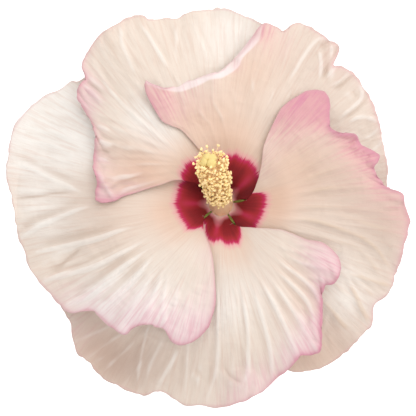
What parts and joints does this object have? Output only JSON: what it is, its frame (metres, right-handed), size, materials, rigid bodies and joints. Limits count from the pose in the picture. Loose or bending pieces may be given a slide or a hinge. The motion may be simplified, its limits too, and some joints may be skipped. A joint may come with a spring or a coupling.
{
  "type": "rose mallow flower",
  "caption": "Open rose mallow flower, face up: overlapping waved petals round a leaning stamen column, with calyx, bractlets and a cut stalk beneath.",
  "frame": {"origin": "middle of the flower's box, on the surface that the petals rest on", "axes": "+Z out of the flower's face, +Y towards the top of the picture, +X to its right"},
  "size_m": [0.1826, 0.1804, 0.0519],
  "materials": {
    "petal": "thin soft petal, cream white with pink margins and a crimson eye",
    "stamen": "matt cream-yellow anthers on pale filaments",
    "stigma": "matt yellow-green lobes",
    "sepal": "matt downy green",
    "stalk": "matt green stalk"
  },
  "bodies": {
    "root": {"petal_left": "petal", "petal_upper_left": "petal", "petal_upper_right": "petal", "petal_right": "petal", "petal_lower": "petal", "stamen_column": "stamen", "pistil": "stigma", "calyx": "sepal", "epicalyx": "sepal", "pedicel": "stalk"}
  },
  "joints": []
}
